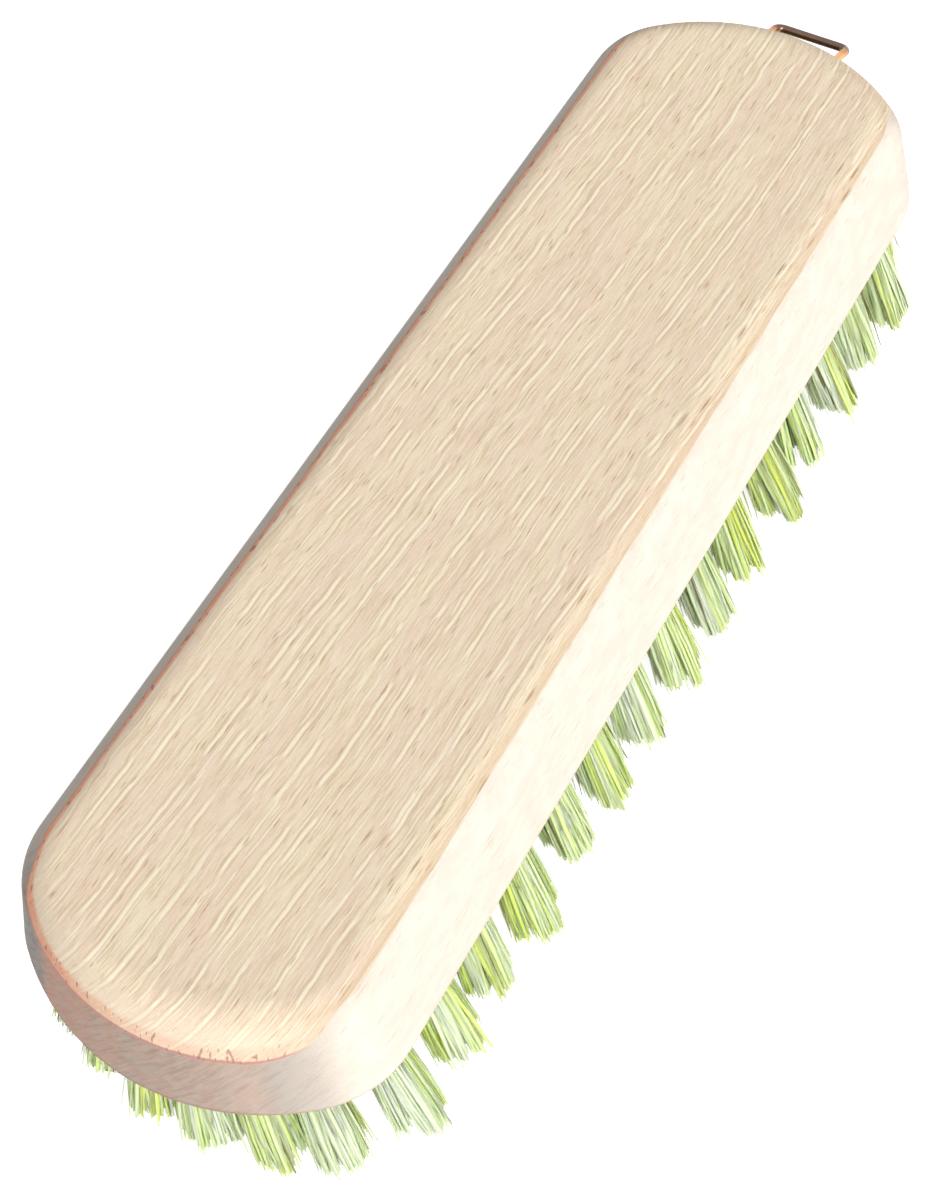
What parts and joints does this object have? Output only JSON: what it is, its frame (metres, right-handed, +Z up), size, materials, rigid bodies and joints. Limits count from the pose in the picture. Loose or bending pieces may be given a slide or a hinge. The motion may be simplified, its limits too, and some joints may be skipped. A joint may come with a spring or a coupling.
{
  "type": "shoe brush",
  "caption": "Shoe brush with a bare beech block, rounded ends and edges, tufts of pale green bristle that flare outwards and a small wire hanging loop at one end.",
  "frame": {"origin": "on the surface under the middle of the whole brush, its bristle tips at z = 0", "axes": "+X along the brush towards the end with the hanging loop, +Z up from the bristle tips to the bare top of the block"},
  "size_m": [0.1801, 0.0555, 0.0348],
  "materials": {
    "beech": "bare sanded beech, satin, with flecks and fine streaks along the length",
    "bristle": "translucent pale yellow-green filament, trimmed flat",
    "wire": "coppered wire, drawn, slightly tarnished"
  },
  "bodies": {
    "root": {"edge_tuft_01": "bristle", "edge_tuft_02": "bristle", "edge_tuft_03": "bristle", "edge_tuft_04": "bristle", "edge_tuft_05": "bristle", "edge_tuft_06": "bristle", "edge_tuft_07": "bristle", "edge_tuft_08": "bristle", "edge_tuft_09": "bristle", "edge_tuft_10": "bristle", "edge_tuft_11": "bristle", "edge_tuft_12": "bristle", "edge_tuft_13": "bristle", "edge_tuft_14": "bristle", "edge_tuft_15": "bristle", "edge_tuft_16": "bristle", "edge_tuft_17": "bristle", "edge_tuft_18": "bristle", "edge_tuft_19": "bristle", "edge_tuft_20": "bristle", "edge_tuft_21": "bristle", "edge_tuft_22": "bristle", "edge_tuft_23": "bristle", "edge_tuft_24": "bristle", "edge_tuft_25": "bristle", "edge_tuft_26": "bristle", "edge_tuft_27": "bristle", "edge_tuft_28": "bristle", "edge_tuft_29": "bristle", "edge_tuft_30": "bristle", "edge_tuft_31": "bristle", "edge_tuft_32": "bristle", "edge_tuft_33": "bristle", "edge_tuft_34": "bristle", "edge_tuft_35": "bristle", "edge_tuft_36": "bristle", "edge_tuft_37": "bristle", "edge_tuft_38": "bristle", "edge_tuft_39": "bristle", "edge_tuft_40": "bristle", "edge_tuft_41": "bristle", "edge_tuft_42": "bristle", "hanging_loop": "wire", "tuft_row_01": "bristle", "tuft_row_02": "bristle", "tuft_row_03": "bristle", "tuft_row_04": "bristle", "tuft_row_05": "bristle", "tuft_row_06": "bristle", "tuft_row_07": "bristle", "tuft_row_08": "bristle", "tuft_row_09": "bristle", "wooden_block": "beech"}
  },
  "joints": []
}
